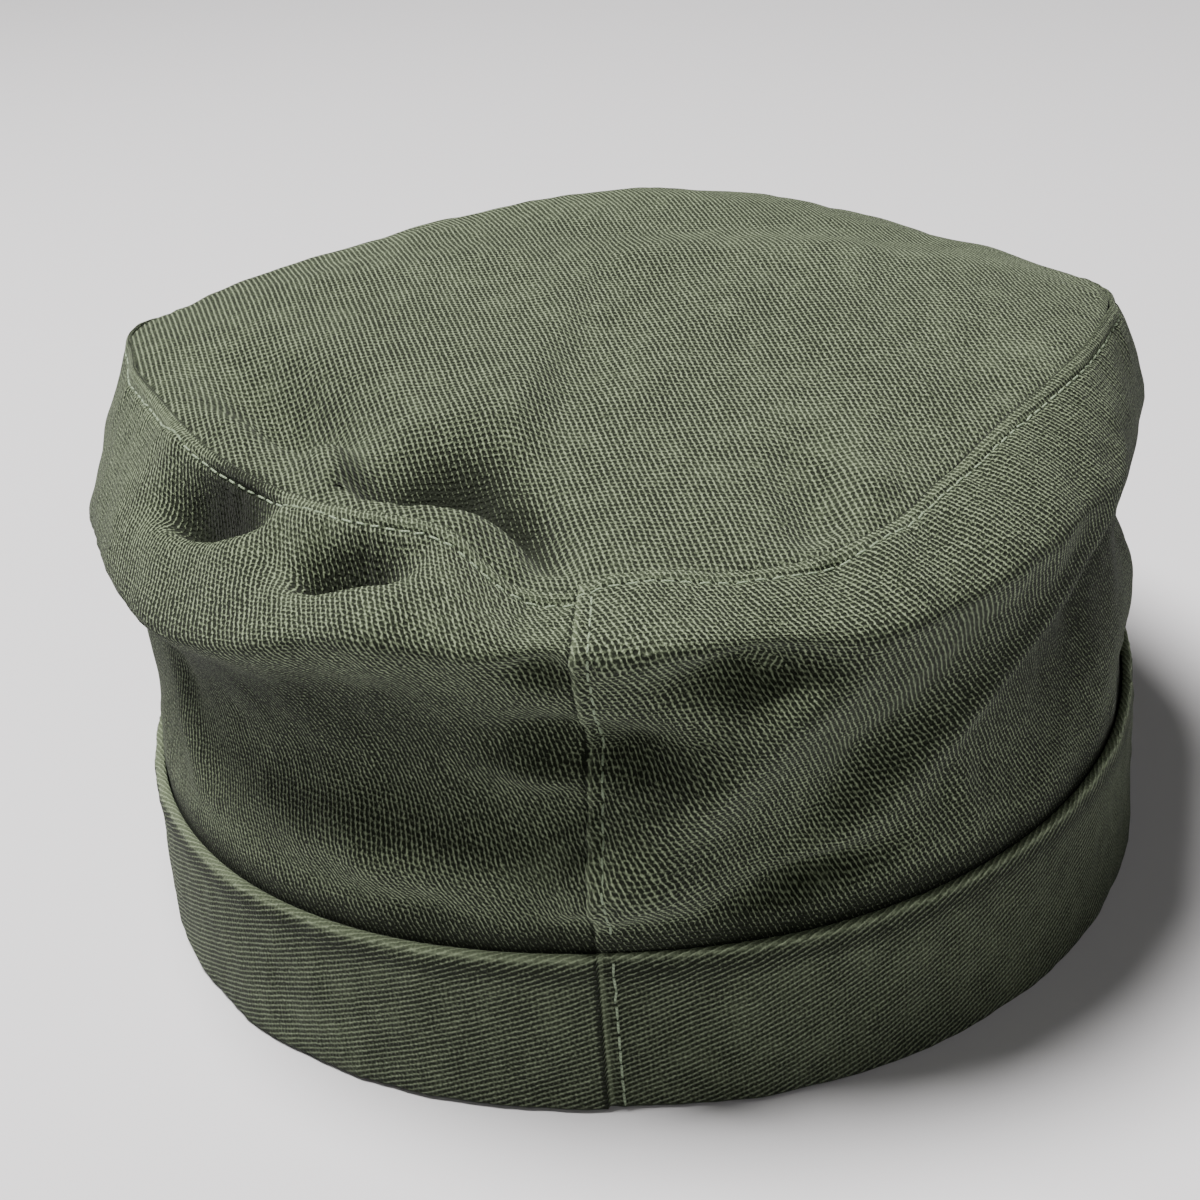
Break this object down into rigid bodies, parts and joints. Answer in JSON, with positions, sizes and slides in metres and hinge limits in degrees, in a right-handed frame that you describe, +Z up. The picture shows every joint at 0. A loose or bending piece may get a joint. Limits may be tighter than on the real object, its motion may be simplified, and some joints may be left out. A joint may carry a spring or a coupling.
{
  "type": "patrol cap",
  "caption": "Soft cotton twill patrol cap with a domed oval top, a side strip closed by a lapped back seam, a folded band and a stiffened peak.",
  "frame": {"origin": "middle of the bottom of the bounding box, on the surface that the band rests on", "axes": "+Z up, +Y from the peak to the back seam, +X to the wearer's left"},
  "size_m": [0.1774, 0.2688, 0.1001],
  "materials": {
    "crown_twill": "matt cotton twill with fine diagonal wales",
    "band_twill": "matt cotton twill cut with the wales nearly along the band",
    "peak_twill": "matt cotton twill over a stiffener",
    "thread": "pale green sewing thread"
  },
  "bodies": {
    "root": {"crown_top": "crown_twill", "crown_side": "crown_twill", "band": "band_twill", "peak": "peak_twill"}
  },
  "joints": []
}
